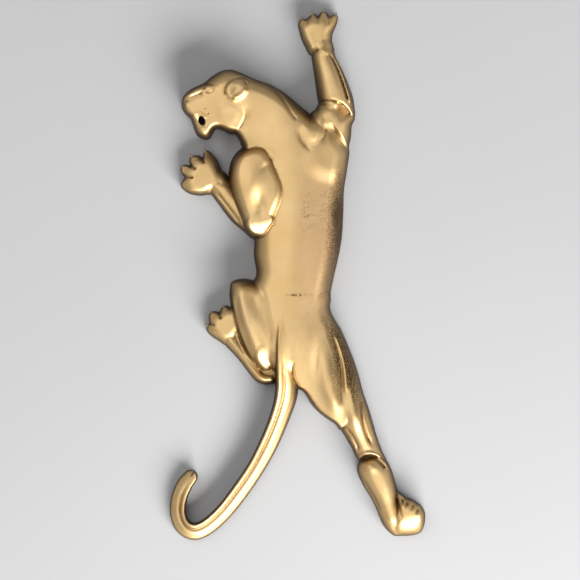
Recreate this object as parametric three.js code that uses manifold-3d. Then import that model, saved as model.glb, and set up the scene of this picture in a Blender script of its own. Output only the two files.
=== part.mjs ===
// Hood ornament: a climbing big cat cast in relief, with a hollow back and three threaded studs.
// Millimetres. The back lies in the plane z = 0, the front faces +Z and the raised forepaw points along +Y.
// The origin is on the flat rib that crosses the hollow in the middle of the trunk.

import * as THREE from 'three';
import { ParametricGeometry } from 'three/addons/geometries/ParametricGeometry.js';
import { mergeVertices } from 'three/addons/utils/BufferGeometryUtils.js';
import Module from 'manifold-3d';

const wasm = await Module();
wasm.setup();

// ---- driving dimensions ----

const wall = 2.2; // thickness of the casting over its hollow
const depthBelow = 20; // how far cutting tools reach behind the back plane
const figureReach = 150; // half the side of the square that cuts the back plane
const around = 12; // facets round a limb
const roundFacets = 20; // facets round a stud, washer or boss
const endCrowding = 0.09; // draws a limb's sections closer together towards its ends

const boss = { radius: 4.6, top: 11 };
const rib = { length: 40, width: 4, height: 5 };
const mouth = { x: -28.9, y: 44.5, halfLength: 1.5, halfWidth: 1.1, turn: 116 };

const stud = { radius: 2.5, bottom: -13, top: 8, bevel: 0.5 };
const studPlaces = {
  shoulder: [4, 29],
  left_thigh: [-11, -15],
  right_thigh: [12, -35],
};
const threadClearance = 0.15;
const stackGap = 0.1; // between the pieces stacked on a stud
const hoodSkin = 1.0; // sheet thickness between the seat and the flat washer

const sealRing = { outer: 4.4, inner: 2.7, thickness: 1.2 };
const flatWasher = { outer: 5, inner: 2.7, thickness: 1.0 };
const lockWasher = { outer: 4.4, inner: 2.65, thickness: 1.3, slot: 0.9 };
const hexNut = { acrossFlats: 8, height: 4, bore: 2.65, bevel: 0.4 };

// ---- solids ----

function solidOf(geometry) {
  const bare = new THREE.BufferGeometry();
  bare.setAttribute('position', geometry.getAttribute('position'));
  if (geometry.index) bare.setIndex(geometry.index);
  const merged = mergeVertices(bare, 1e-4);
  const corners = merged.index.array;
  const kept = [];
  for (let i = 0; i < corners.length; i += 3) {
    const [a, b, c] = corners.slice(i, i + 3);
    if (a !== b && b !== c && c !== a) kept.push(a, b, c);
  }
  return new wasm.Manifold(new wasm.Mesh({
    numProp: 3,
    vertProperties: new Float32Array(merged.getAttribute('position').array),
    triVerts: new Uint32Array(kept),
  }));
}

function geometryOf(solid) {
  const mesh = solid.getMesh();
  const geometry = new THREE.BufferGeometry();
  geometry.setAttribute('position', new THREE.BufferAttribute(mesh.vertProperties, 3));
  geometry.setIndex(new THREE.BufferAttribute(mesh.triVerts, 1));
  geometry.computeVertexNormals();
  return geometry;
}

function union(solids) {
  return solids.reduce((whole, next) => whole.add(next));
}

// A rounded mass, half buried in the back plane. turn is the angle of its length from +X, in degrees.
function mass(x, y, halfLength, halfWidth, height, turn, inset = 0) {
  const geometry = new THREE.SphereGeometry(1, around + 4, around - 2);
  geometry.rotateX(Math.PI / 2);
  geometry.scale(halfLength - inset, halfWidth - inset, height - inset);
  geometry.rotateZ(THREE.MathUtils.degToRad(turn));
  geometry.translate(x, y, 0);
  return solidOf(geometry);
}

// A limb along a smooth line, half buried in the back plane. Each station is [x, y, half width, height].
// Both ends are round. inset thins the limb on every side, which makes the tool for its hollow.
function limb(stations, steps, inset = 0) {
  const middle = new THREE.CatmullRomCurve3(stations.map(([x, y]) => new THREE.Vector3(x, y, 0)));
  const section = new THREE.CatmullRomCurve3(
    stations.map(([, , halfWidth, height]) => new THREE.Vector3(halfWidth - inset, height - inset, 0)),
  );
  const length = middle.getLength();
  const surface = (u, v, target) => {
    const t = u - endCrowding * Math.sin(2 * Math.PI * u);
    const centre = middle.getPoint(t);
    const tangent = middle.getTangent(t);
    const size = section.getPoint(t);
    const endRadius = section.getPoint(Math.round(t)).x;
    const fromEnd = Math.min(t, 1 - t) * length;
    const taper = fromEnd >= endRadius ? 1 : Math.sqrt(1 - (1 - fromEnd / endRadius) ** 2);
    const angle = -2 * Math.PI * v;
    const sideways = size.x * taper * Math.cos(angle);
    target.set(
      centre.x - tangent.y * sideways,
      centre.y + tangent.x * sideways,
      size.y * taper * Math.sin(angle),
    );
  };
  return solidOf(new ParametricGeometry(surface, steps, around));
}

// A round bar along Z.
function rod(x, y, radius, bottom, top) {
  const geometry = new THREE.CylinderGeometry(radius, radius, top - bottom, roundFacets);
  geometry.rotateX(Math.PI / 2);
  geometry.translate(x, y, (bottom + top) / 2);
  return solidOf(geometry);
}

// A rectangular block, centred on the Z axis.
function block(length, width, bottom, top) {
  const geometry = new THREE.BoxGeometry(length, width, top - bottom);
  geometry.translate(0, 0, (bottom + top) / 2);
  return solidOf(geometry);
}

// A turned piece: its profile of [radius, z] pairs goes round the Z axis.
function turned(profile) {
  const geometry = new THREE.LatheGeometry(profile.map(([r, z]) => new THREE.Vector2(r, z)), roundFacets);
  geometry.rotateX(Math.PI / 2);
  return solidOf(geometry);
}

function ring({ outer, inner, thickness }, bottom) {
  const top = bottom + thickness;
  return turned([[inner, bottom], [outer, bottom], [outer, top], [inner, top], [inner, bottom]]);
}

// A paw: a round pad and toes that spread from its middle at the given angles from +X.
function paw(x, y, radius, height, toeReach, toeAngles) {
  const toeWidth = 0.4 * radius;
  const toes = toeAngles.map((degrees) => {
    const angle = THREE.MathUtils.degToRad(degrees);
    const middle = toeReach - 2 * toeWidth;
    return mass(x + middle * Math.cos(angle), y + middle * Math.sin(angle),
      2 * toeWidth, toeWidth, 0.85 * height, degrees);
  });
  return union([mass(x, y, radius, radius, height, 0), ...toes]);
}

// ---- the cat ----

function trunk(inset) {
  return limb([[2, 47, 9, 11], [3, 37, 13.5, 12.5], [1.8, 20, 14, 12.5], [0.6, 4, 13, 12],
    [0.2, -8, 11.5, 12], [1.5, -20, 12.5, 12.5], [6, -32, 11, 11.5], [9, -42, 6, 9]], 22, inset);
}

function neck(inset) {
  return limb([[6, 34, 9, 12], [-3, 43, 8.6, 12], [-10, 47.2, 8.8, 11.5], [-26, 52, 7.5, 10]], 10, inset);
}

function skull(inset) {
  return mass(-20.3, 50.8, 9.6, 9.2, 11, 15, inset);
}

function throat(inset) {
  return mass(-13.8, 42.6, 6.4, 6.6, 11, 0, inset);
}

function face() {
  const cheek = mass(-20.6, 46.4, 6, 5.6, 10.5, 0);
  const muzzle = limb([[-18, 50, 7, 10], [-27, 50, 6.2, 9], [-35.2, 49.3, 3.6, 6.5]], 9);
  const jaw = limb([[-17, 47, 4, 9], [-23.5, 44.4, 2.8, 7], [-30.4, 41, 2, 4.5]], 9);
  const lips = mass(-30.6, 44, 2.2, 1.4, 4, 110);
  return union([cheek, muzzle, jaw, lips]);
}

function leftShoulder(inset) {
  return mass(-11.3, 22.8, 15.4, 9.2, 15, 97, inset);
}

function leftForearm() {
  const arm = limb([[-12, 10, 3.4, 8], [-17.4, 16.6, 3.7, 8], [-22.2, 23.2, 3.6, 7], [-28, 30, 3.4, 6]], 9);
  return arm.add(paw(-29.4, 27.5, 5.6, 6, 7.2, [72, 115, 155, 200]));
}

function rightUpperArm(inset) {
  return limb([[4, 28, 7, 12], [9.8, 38, 7.6, 12], [13.8, 50, 4.6, 10]], 9, inset);
}

function rightForearm() {
  const arm = limb([[13.6, 42.5, 5, 9], [12.4, 50.5, 5.3, 9.5], [10.6, 58, 4.7, 9], [8, 66, 3.8, 7],
    [7.4, 74, 4, 6]], 11);
  return arm.add(paw(7, 71.6, 5.8, 6, 7.4, [134, 105, 78, 50]));
}

function leftThigh(inset) {
  return limb([[-14.6, -4.2, 6.3, 11], [-13.2, -13, 6.8, 13], [-11.4, -23, 5.4, 12], [-9, -35, 2.6, 8]], 12, inset);
}

function leftShank() {
  const shin = limb([[-6, -36.4, 2.6, 7], [-12, -32.4, 2.8, 7], [-17.4, -26.6, 2.8, 6], [-23, -19, 3.2, 5.5]], 9);
  return shin.add(paw(-22.4, -19.4, 4.6, 5.5, 6.5, [84, 130, 172]));
}

function rightThigh(inset) {
  return limb([[-1, -18, 9, 11], [7.5, -31, 10.2, 12], [11.7, -38, 9.4, 11], [15.8, -45.2, 7.4, 10],
    [20.6, -53.6, 4.8, 8.5], [24.5, -63, 4.6, 7.5]], 14, inset);
}

function rightShank() {
  const shin = limb([[22.6, -56.8, 4.2, 8], [25.2, -64.5, 4.9, 8], [28.2, -72, 5, 7.5], [34.5, -85, 4, 6]], 10);
  return shin.add(paw(34.8, -79.2, 5.2, 6.5, 6.9, [104, 80, 54, 20]));
}

function tail() {
  return limb([[-1.5, -8, 3.6, 11], [-2.6, -24, 3.6, 10], [-2.6, -35.8, 3.3, 7.5], [-4, -44, 2.9, 6],
    [-7.8, -55.4, 2.7, 5.2], [-12.3, -63.4, 2.6, 5], [-17.6, -71.8, 2.6, 5], [-23, -78.4, 2.6, 5],
    [-28.6, -82.2, 2.6, 5], [-33, -82.2, 2.6, 5], [-36.2, -78.8, 2.6, 5], [-36.6, -74, 2.6, 5],
    [-34.8, -69.2, 2.6, 5], [-31.2, -64.2, 2.5, 4.8]], 44);
}

function figureCasting() {
  const hollowParts = [trunk, neck, throat, skull, leftShoulder, rightUpperArm, leftThigh, rightThigh];
  const solidParts = [face, leftForearm, rightForearm, leftShank, rightShank, tail];
  const outside = union([...hollowParts.map((part) => part(0)), ...solidParts.map((part) => part())]);
  const hollow = union(hollowParts.map((part) => part(wall)));
  const places = Object.values(studPlaces);
  const bossFoot = sealRing.thickness + 2 * stackGap;
  const bosses = places.map(([x, y]) => rod(x, y, boss.radius, bossFoot, boss.top));
  const supports = union([...bosses, block(rib.length, rib.width, 0, rib.height)]).intersect(outside);
  const holeRadius = stud.radius + threadClearance;
  const holes = places.map(([x, y]) => rod(x, y, holeRadius, 0, stud.top + 2 * threadClearance));
  const recesses = places.map(([x, y]) => rod(x, y, boss.radius + threadClearance, 0, bossFoot));
  const mouthHole = mass(mouth.x, mouth.y, mouth.halfLength, mouth.halfWidth, depthBelow, mouth.turn);
  const behind = block(2 * figureReach, 2 * figureReach, -depthBelow, 0);
  return outside.subtract(hollow).add(supports).subtract(union([...holes, ...recesses, mouthHole, behind]));
}

// ---- fastenings, one set on each stud, clamped through a hood skin under the seat ----

const flatWasherBottom = -hoodSkin - stackGap - flatWasher.thickness;
const lockWasherBottom = flatWasherBottom - stackGap - lockWasher.thickness;
const hexNutBottom = lockWasherBottom - stackGap - hexNut.height;

function threadedStud() {
  const { radius, bottom, top, bevel } = stud;
  return turned([[0, bottom], [radius - bevel, bottom], [radius, bottom + bevel], [radius, top - bevel],
    [radius - bevel, top], [0, top]]);
}

function splitLockWasher() {
  const { outer, inner, thickness, slot } = lockWasher;
  const outerGap = Math.asin(slot / 2 / outer);
  const innerGap = Math.asin(slot / 2 / inner);
  const outline = new THREE.Shape();
  outline.absarc(0, 0, outer, outerGap, 2 * Math.PI - outerGap, false);
  outline.absarc(0, 0, inner, 2 * Math.PI - innerGap, innerGap, true);
  outline.closePath();
  const settings = { depth: thickness, bevelEnabled: false, curveSegments: roundFacets };
  return solidOf(new THREE.ExtrudeGeometry(outline, settings).translate(0, 0, lockWasherBottom));
}

function hexNutSolid() {
  const { acrossFlats, height, bore, bevel } = hexNut;
  const cornerRadius = acrossFlats / Math.sqrt(3);
  const outline = new THREE.Shape();
  for (let corner = 0; corner < 6; corner += 1) {
    const angle = corner * Math.PI / 3;
    const move = corner === 0 ? 'moveTo' : 'lineTo';
    outline[move](cornerRadius * Math.cos(angle), cornerRadius * Math.sin(angle));
  }
  outline.closePath();
  const settings = { depth: height, bevelEnabled: false };
  const prism = solidOf(new THREE.ExtrudeGeometry(outline, settings).translate(0, 0, hexNutBottom));
  const top = hexNutBottom + height;
  const faceRadius = acrossFlats / 2;
  const envelope = turned([[bore, hexNutBottom], [faceRadius, hexNutBottom], [cornerRadius + bevel,
    hexNutBottom + 2 * bevel], [cornerRadius + bevel, top - 2 * bevel], [faceRadius, top], [bore, top],
    [bore, hexNutBottom]]);
  return prism.intersect(envelope);
}

// ---- the assembly ----

function materialOf(color, roughness, metalness) {
  return new THREE.MeshStandardMaterial({ color, roughness, metalness });
}

const assembly = new THREE.Group();

function addPiece(name, solid, material, [x, y] = [0, 0]) {
  const piece = new THREE.Mesh(geometryOf(solid), material);
  piece.name = name;
  piece.position.set(x, y, 0);
  assembly.add(piece);
}

addPiece('figure_casting', figureCasting(), materialOf(0xcfa46a, 0.38, 1));

for (const [place, position] of Object.entries(studPlaces)) {
  addPiece(`stud_${place}`, threadedStud(), materialOf(0xb4b6b8, 0.35, 1), position);
  addPiece(`seal_ring_${place}`, ring(sealRing, stackGap), materialOf(0x1d1d1f, 0.85, 0), position);
  addPiece(`flat_washer_${place}`, ring(flatWasher, flatWasherBottom), materialOf(0xb4b6b8, 0.4, 1), position);
  addPiece(`lock_washer_${place}`, splitLockWasher(), materialOf(0x9a9c9e, 0.45, 1), position);
  addPiece(`hex_nut_${place}`, hexNutSolid(), materialOf(0xb4b6b8, 0.4, 1), position);
}

export default assembly;
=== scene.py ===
"""Looks of the hood ornament: a satin gold casting of a climbing big cat, with its studs, seals, washers
and nuts.

The casting is sculpted as a relief over the back plane z = 0. Lengths in this script are millimetres unless
a name says otherwise, and MM turns them into metres. """

import math

import bmesh
import bpy
import numpy as np
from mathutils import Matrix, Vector


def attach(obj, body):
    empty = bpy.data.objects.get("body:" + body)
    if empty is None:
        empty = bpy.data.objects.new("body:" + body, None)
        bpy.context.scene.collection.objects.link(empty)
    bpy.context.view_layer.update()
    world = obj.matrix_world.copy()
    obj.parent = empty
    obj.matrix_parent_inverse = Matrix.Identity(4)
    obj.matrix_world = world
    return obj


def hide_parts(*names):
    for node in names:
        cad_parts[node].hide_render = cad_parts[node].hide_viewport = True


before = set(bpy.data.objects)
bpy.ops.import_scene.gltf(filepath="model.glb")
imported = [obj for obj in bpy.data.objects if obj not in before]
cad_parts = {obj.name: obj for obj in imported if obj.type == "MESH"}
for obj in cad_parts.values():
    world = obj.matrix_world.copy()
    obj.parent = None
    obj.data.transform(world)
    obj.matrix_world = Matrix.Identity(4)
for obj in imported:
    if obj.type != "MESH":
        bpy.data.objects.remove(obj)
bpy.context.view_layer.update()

MM = 0.001

# ---- the relief: a height over the back plane on a fine grid of x and y ----

CELL = 0.2  # grid step of the relief
LOW_X, HIGH_X = -42.0, 44.0
LOW_Y, HIGH_Y = -89.0, 83.0
SHOULDER_OF_SCALE = 2.0  # heights are kept in a scale that is smooth where a round wall meets the back plane
GROUND = -1.2  # level of the empty space round the figure in that scale
MARGIN = 2.5  # how far outside a mass its level is still worked out
SPLINE_STEPS = 6  # straight pieces between two points of a smooth line
EDGE_WIDTH = 0.9  # how wide the fall of a crisp edge is
MOST_OF_LEVEL = 0.35  # the largest share of the level that an edge takes, which leaves the outline alone
WIDE_LINE = 2.0  # a ridge or groove wider than this is smoothed where its line bends
NO_LENGTH = 1e-12  # stands in for the squared length of a piece of line whose ends are one point
FACET_ROUNDING = 1.0  # how widely a facet runs into the mass it is cut from

grid_x = np.arange(LOW_X, HIGH_X + CELL / 2, CELL)
grid_y = np.arange(LOW_Y, HIGH_Y + CELL / 2, CELL)
X, Y = np.meshgrid(grid_x, grid_y)
relief = np.full(X.shape, GROUND)


def level_of_square(square):
    """A round wall's height squared falls evenly through zero, so a level is taken from that square."""
    raised = np.sqrt(np.maximum(square, 0) + SHOULDER_OF_SCALE**2) - SHOULDER_OF_SCALE
    return np.where(square > 0, raised, square / (2 * SHOULDER_OF_SCALE))


def square_of_level(level):
    raised = (level + SHOULDER_OF_SCALE) ** 2 - SHOULDER_OF_SCALE**2
    return np.where(level > 0, raised, 2 * SHOULDER_OF_SCALE * level)


def spline(points, closed=False):
    """A dense smooth line through the points. Further columns, such as widths, are carried along."""
    points = np.asarray(points, float)
    if closed:
        before, after = points[-1:], points[:2]
    else:
        before, after = 2 * points[:1] - points[1:2], 2 * points[-1:] - points[-2:-1]
    knots = np.vstack([before, points, after])
    t = np.linspace(0, 1, SPLINE_STEPS, endpoint=False)[:, None]
    parts = []
    for a, b, c, d in zip(knots, knots[1:], knots[2:], knots[3:]):
        parts.append(0.5 * (2 * b + (c - a) * t + (2 * a - 5 * b + 4 * c - d) * t**2
                            + (3 * b - a - 3 * c + d) * t**3))
    line = np.vstack(parts)
    return line if closed else np.vstack([line, points[-1:]])


def window(line, margin):
    """The part of the grid that holds a line and a margin round it."""
    low = line[:, :2].min(axis=0) - margin
    high = line[:, :2].max(axis=0) + margin
    columns = slice(*np.searchsorted(grid_x, [low[0], high[0]]))
    rows = slice(*np.searchsorted(grid_y, [low[1], high[1]]))
    return rows, columns


def nearest_on(line, part):
    """Distance from the grid's points to a line, the side they are on (left is positive), how far along it
    the nearest point is, from 0 to 1, and the line's further columns there."""
    x, y = X[part], Y[part]
    best = np.full(x.shape, np.inf)
    found = np.zeros((line.shape[1], *x.shape))
    lengths = np.hypot(*np.diff(line[:, :2], axis=0).T)
    starts = np.concatenate([[0], np.cumsum(lengths)]) / lengths.sum()
    for i, (a, b) in enumerate(zip(line, line[1:])):
        step = b - a
        square = max(step[0] ** 2 + step[1] ** 2, NO_LENGTH)
        t = np.clip(((x - a[0]) * step[0] + (y - a[1]) * step[1]) / square, 0, 1)
        dx, dy = x - a[0] - t * step[0], y - a[1] - t * step[1]
        distance = dx**2 + dy**2
        closer = distance < best
        best = np.where(closer, distance, best)
        found[0] = np.where(closer, np.sign(step[0] * dy - step[1] * dx), found[0])
        found[1] = np.where(closer, starts[i] + t * (starts[i + 1] - starts[i]), found[1])
        for column in range(2, line.shape[1]):
            found[column] = np.where(closer, a[column] + t * step[column], found[column])
    return np.sqrt(best), found[0], found[1], found[2:]


def blurred(values, radius):
    """Three box blurs, which come close to a Gaussian one."""
    size = 2 * max(int(radius / CELL), 1) + 1
    for axis in (0, 1) * 3:
        pad = [(0, 0), (0, 0)]
        pad[axis] = (size // 2 + 1, size // 2)
        total = np.cumsum(np.pad(values, pad, mode="edge"), axis=axis)
        ahead = np.take(total, range(size, total.shape[axis]), axis=axis)
        behind = np.take(total, range(total.shape[axis] - size), axis=axis)
        values = (ahead - behind) / size
    return values


def smoothstep(t):
    t = np.clip(t, 0, 1)
    return t * t * (3 - 2 * t)


def depth_inside(outline, part):
    """Distance from a closed outline, positive inside it."""
    closed = np.vstack([outline, outline[:1]])
    x, y = X[part], Y[part]
    inside = np.zeros(x.shape, bool)
    for a, b in zip(closed, closed[1:]):
        if a[1] != b[1]:
            crosses = (a[1] > y) != (b[1] > y)
            inside ^= crosses & (x < a[0] + (y - a[1]) * (b[0] - a[0]) / (b[1] - a[1]))
    distance = nearest_on(closed[:, :2], part)[0]
    return np.where(inside, distance, -distance)


def soft_depth(outline, part, softness):
    """The depth inside an outline, without the creases it has where two sides are equally near."""
    depth = depth_inside(outline, part)
    return depth + smoothstep(depth / (1.5 * softness)) * (blurred(depth, softness) - depth)


def join(part, level, blend):
    """The higher of the relief and a new mass. blend is how widely the two run into each other."""
    old = relief[part]
    near = np.maximum(blend - np.abs(old - level), 0)
    fillet = near**2 / (4 * blend) * smoothstep(np.maximum(old, level))
    relief[part] = np.maximum(np.maximum(old, level) + fillet, GROUND)


def limb(stations, blend=0.5, power=2.0, crest=0.0, slope=0.0):
    """A round limb along a smooth line. Each station is (x, y, half width, height). A power under 2 makes
    it roof-like, and one over 2 makes it flat on top. crest moves the top off the middle, from -1, right,
    to 1, left, and slope makes it fall to the left by that much per millimetre."""
    line = spline(stations)
    part = window(line, line[:, 2].max() + MARGIN)
    distance, side, _, (half_width, height) = nearest_on(line, part)
    across = side * distance / half_width - crest
    t = np.abs(across) / (1 - crest * np.sign(across))
    top = height - slope * half_width * np.clip(across, -1, 1)
    join(part, level_of_square(top**2 * (1 - t**power)), blend)


def planed(top, part, x, y, height, turn, slope):
    """Limits a mass's top to a plane that has the given height over x, y and falls towards turn, in
    degrees."""
    c, s = math.cos(math.radians(turn)), math.sin(math.radians(turn))
    plane = height - slope * (c * (X[part] - x) + s * (Y[part] - y))
    fillet = np.maximum(FACET_ROUNDING - np.abs(top - plane), 0) ** 2 / (4 * FACET_ROUNDING)
    return np.maximum(np.minimum(top, plane) - fillet, 0)


def pillow(outline, height, edge, blend=0.5, lean=(0, 0), power=2.0, facet=None):
    """A mass that fills an outline and rounds down to the back plane over a width of edge. lean makes it
    higher towards one side: height per millimetre along x and y, counted from the outline's middle. facet
    is the plane that cuts its end off, as planed takes it."""
    line = spline(outline, closed=True)
    part = window(line, MARGIN)
    depth = soft_depth(line, part, edge / 3)
    middle = line[:, :2].mean(axis=0)
    top = height + lean[0] * (X[part] - middle[0]) + lean[1] * (Y[part] - middle[1])
    if facet:
        top = planed(top, part, *facet)
    fall = np.maximum(1 - depth / edge, 0)
    join(part, level_of_square(top**2 * (1 - fall**power)), blend)


def swell(outline, rise, edge, crisp=0.0):
    """A muscle that stands up from the relief inside an outline, over a width of edge. At a crispness of 0
    it runs out softly, and at 1 it meets the relief in a clear crease."""
    line = spline(outline, closed=True)
    part = window(line, MARGIN)
    t = np.clip(soft_depth(line, part, edge / 3) / edge, 0, 1)
    shape = (1 - crisp) * smoothstep(t) + crisp * t * (2 - t)
    relief[part] += np.where(relief[part] > 0, rise * shape, 0)


def line_strength(along, fade):
    """Fades a crease or ridge out over a share of its length at both ends."""
    return smoothstep(np.minimum(along, 1 - along) / fade)


def crease(points, depth, width, fade=0.2):
    """A groove with round shoulders along a smooth line."""
    line = spline(points)
    part = window(line, 3 * width)
    distance, _, along, _ = nearest_on(line, part)
    cut = depth * np.exp(-((distance / width) ** 2)) * line_strength(along, fade)
    if width > WIDE_LINE:
        cut = blurred(cut, width / 4)
    relief[part] -= np.where(relief[part] > 0, cut, 0)


def ridge(points, rise, width, fade=0.2):
    crease(points, -rise, width, fade)


def step(points, drop, width, edge=EDGE_WIDTH, fade=0.2):
    """An edge: the relief falls by drop at the right of the line, and comes back over a width. The fall
    itself is as wide as edge."""
    line = spline(points)
    part = window(line, 3 * width)
    distance, side, along, _ = nearest_on(line, part)
    across = -side * distance
    fall = smoothstep(across / edge + 0.5) * np.exp(-((np.maximum(across, 0) / width) ** 2))
    cut = np.minimum(drop, MOST_OF_LEVEL * np.maximum(relief[part], 0)) * fall * line_strength(along, fade)
    relief[part] -= cut


def beside(stations, share):
    """The line through the stations of a limb, moved to its left by a share of the half width."""
    places = np.array(stations, float)
    along = np.gradient(places[:, :2], axis=0)
    left = np.stack([-along[:, 1], along[:, 0]], axis=1) / np.hypot(*along.T)[:, None]
    return places[:, :2] + share * places[:, 2:3] * left


def dimple(x, y, half_length, half_width, turn, depth):
    """A shallow oval hollow, or a bump where the depth is negative. turn is in degrees from +X."""
    c, s = math.cos(math.radians(turn)), math.sin(math.radians(turn))
    along, across = c * (X - x) + s * (Y - y), c * (Y - y) - s * (X - x)
    near = np.exp(-((along / half_length) ** 2) - (across / half_width) ** 2)
    relief[:] -= np.where(relief > 0, depth * near, 0)


# ---- the cat, mass by mass ----

BODY_HEIGHT = 9.4  # neck, back and haunch share one level, which the muscles then stand on
BODY_BLEND = 0.05  # these masses run into each other with hardly any fillet


def tail():
    """The tail grows out of the rump. It is highest along the inner side of its bend, where a shallow
    groove runs, and falls off towards the outer side."""
    course = [(-1.4, -14, 3.9, 9.8), (-2.2, -21, 3.8, 11.6), (-2.6, -27, 3.6, 12.4), (-2.6, -32, 3.6, 12.2),
              (-2.5, -37, 3.6, 11.2), (-2.9, -41, 3.5, 9.6), (-4.2, -45.6, 3.2, 7.8), (-6.2, -51, 3, 6.4),
              (-8.9, -57, 2.9, 5.4), (-12.4, -63.4, 2.7, 5.2), (-17.3, -70.6, 2.7, 5), (-22.4, -77, 2.6, 5),
              (-27.4, -81.4, 2.6, 5), (-31.4, -82.9, 2.7, 5), (-34.8, -81.3, 2.6, 5),
              (-36.4, -77.4, 2.5, 5), (-36.1, -72.6, 2.5, 5), (-34.4, -68.4, 2.5, 4.8),
              (-32.5, -65.9, 2.2, 4.6)]
    limb(course, blend=1.5, power=4.2, crest=-0.45, slope=0.62)
    crease(beside(course[2:], -0.25), depth=0.7, width=0.5, fade=0.12)


def trunk():
    pillow([(-12.6, 8), (-12.8, 3), (-12.1, -3), (-14.4, -7), (-16.6, -11), (-16, -18), (-13.4, -25),
            (-9.6, -31), (-5.5, -34), (-1, -36), (5, -33), (11, -32), (15, -29), (15.8, -24.8),
            (14.4, -20.3), (12.2, -16.8), (10.9, -13.5), (11, -9), (12, -4), (13.6, 3), (14.6, 9), (15, 16),
            (15.2, 23), (16.2, 30), (16.8, 36), (15, 43), (10, 45.5), (4.8, 46.4), (-1, 46), (-8, 43),
            (-12, 30), (-12.2, 18)], height=BODY_HEIGHT, edge=5.5, blend=BODY_BLEND, power=2.2)
    step([(9.4, -13), (9.5, -7), (10.5, -2), (11.9, 4), (12.7, 10), (13, 16), (13.1, 22), (13.8, 28)],
         drop=1.4, width=8, edge=3.5, fade=0.25)


def head_and_neck():
    pillow([(-35.3, 50.4), (-34.6, 52.7), (-32.3, 54.7), (-28.6, 56.5), (-25.7, 58.8), (-22.8, 60.4),
            (-20, 60.7), (-17, 59.8), (-14, 58.4), (-11, 57.2), (-8, 56.2), (-4, 53.9), (-1.2, 51.8),
            (1.5, 49.4), (4.4, 47), (9, 41), (7, 32), (0, 27), (-10, 30), (-16.2, 36.2), (-17.2, 38.4),
            (-18.4, 40.4), (-20.4, 40.7), (-23, 41.9), (-24.6, 42.1), (-25.5, 41), (-26.3, 39.6),
            (-27.5, 38.9), (-29, 39.2), (-30.5, 40.3), (-31.3, 41.9), (-31.8, 43.6), (-32.6, 45.4),
            (-34, 46.7), (-35.1, 48.4)], height=BODY_HEIGHT, edge=4.6, blend=BODY_BLEND, power=2.2)
    face = [(-35.3, 50.4), (-34.6, 52.7), (-32.3, 54.7), (-28.6, 56.3), (-24, 57), (-19, 54), (-14, 47),
            (-9, 41), (-8, 33), (-13, 31), (-16.8, 34.4), (-16.2, 36.4), (-17.2, 38.4), (-18.4, 40.4),
            (-20.4, 40.7), (-23, 41.9), (-24.6, 42.1), (-25.5, 41), (-26.3, 39.6), (-27.5, 38.9),
            (-29, 39.2), (-30.5, 40.3), (-31.3, 41.9), (-31.8, 43.6), (-32.6, 45.4), (-34, 46.7),
            (-35.1, 48.4)]
    pillow(face, height=BODY_HEIGHT, edge=2.2, blend=BODY_BLEND, power=2.2)
    dimple(-19.5, 53.5, 8, 5.5, 10, -1.6)


def spine():
    ridge([(-22, 54), (-15, 52), (-8, 48.5), (-3, 42), (-0.8, 33), (0.2, 22), (0.2, 12), (-0.5, 2),
           (-1.2, -8), (-1.4, -18), (0.6, -28), (4.5, -38), (8, -46)], rise=2.8, width=8.5, fade=0.25)


def left_foreleg():
    limb([(-13, 12, 3.2, 7.5), (-17.4, 16.2, 3.5, 7.6), (-20.8, 20.8, 3.6, 6.8), (-24.4, 26, 3.8, 6)],
         blend=0.8, power=2.4)
    pillow([(-21, 27.4), (-22.2, 28.4), (-23.4, 30.8), (-24.4, 33), (-25.8, 34.5), (-26.8, 35.4),
            (-27.8, 35.6), (-28.4, 34.8), (-28.9, 33.4), (-30, 34.1), (-31.8, 34), (-32.9, 33),
            (-32.9, 31.8), (-32.7, 30.9), (-33.6, 31.2), (-35, 31), (-35.7, 30), (-35.5, 28.5),
            (-34.4, 27.3), (-35, 26.4), (-35.6, 25), (-35.2, 23.8), (-33.6, 22.5), (-32, 21.9),
            (-29.5, 21.5), (-27.5, 21.8), (-26, 22), (-23, 24)], height=6, edge=3.2, blend=0.8)


def right_foreleg():
    upper_arm = [(4.6, 46.8), (6.2, 48.4), (7.3, 50), (10, 51.2), (13, 50.8), (15.8, 49), (18.2, 46.4),
                 (18.5, 45), (17.7, 43.4), (17.4, 40), (16.9, 37.4), (16.3, 35.4), (13, 33), (7, 36),
                 (4, 42)]
    pillow(upper_arm, height=BODY_HEIGHT, edge=4.6, blend=BODY_BLEND, power=2.2)
    limb([(13.6, 47, 5.1, 8.4), (12.6, 51, 5.5, 9), (10.9, 57.5, 4.8, 9), (9, 63.6, 3.8, 8),
          (8.4, 67.4, 3.6, 6.8)], blend=0.8, power=2.6)
    pillow([(4.6, 65.2), (3.2, 67.5), (2, 70), (1.3, 72.5), (0.9, 74.5), (1.3, 76), (2.3, 76.7),
            (3.3, 76.5), (4.2, 77.2), (5.5, 78.2), (6.4, 77.9), (7, 77.3), (7.8, 78.4), (9, 78.9),
            (10, 78.2), (10.7, 77.2), (11.5, 77.6), (12.6, 77.9), (13.3, 77.2), (13.2, 75.8), (12.6, 74),
            (11.7, 72), (11.5, 70), (11.7, 68), (12.1, 66.3), (8.3, 64)], height=6.4, edge=3.4, blend=0.8)


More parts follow.
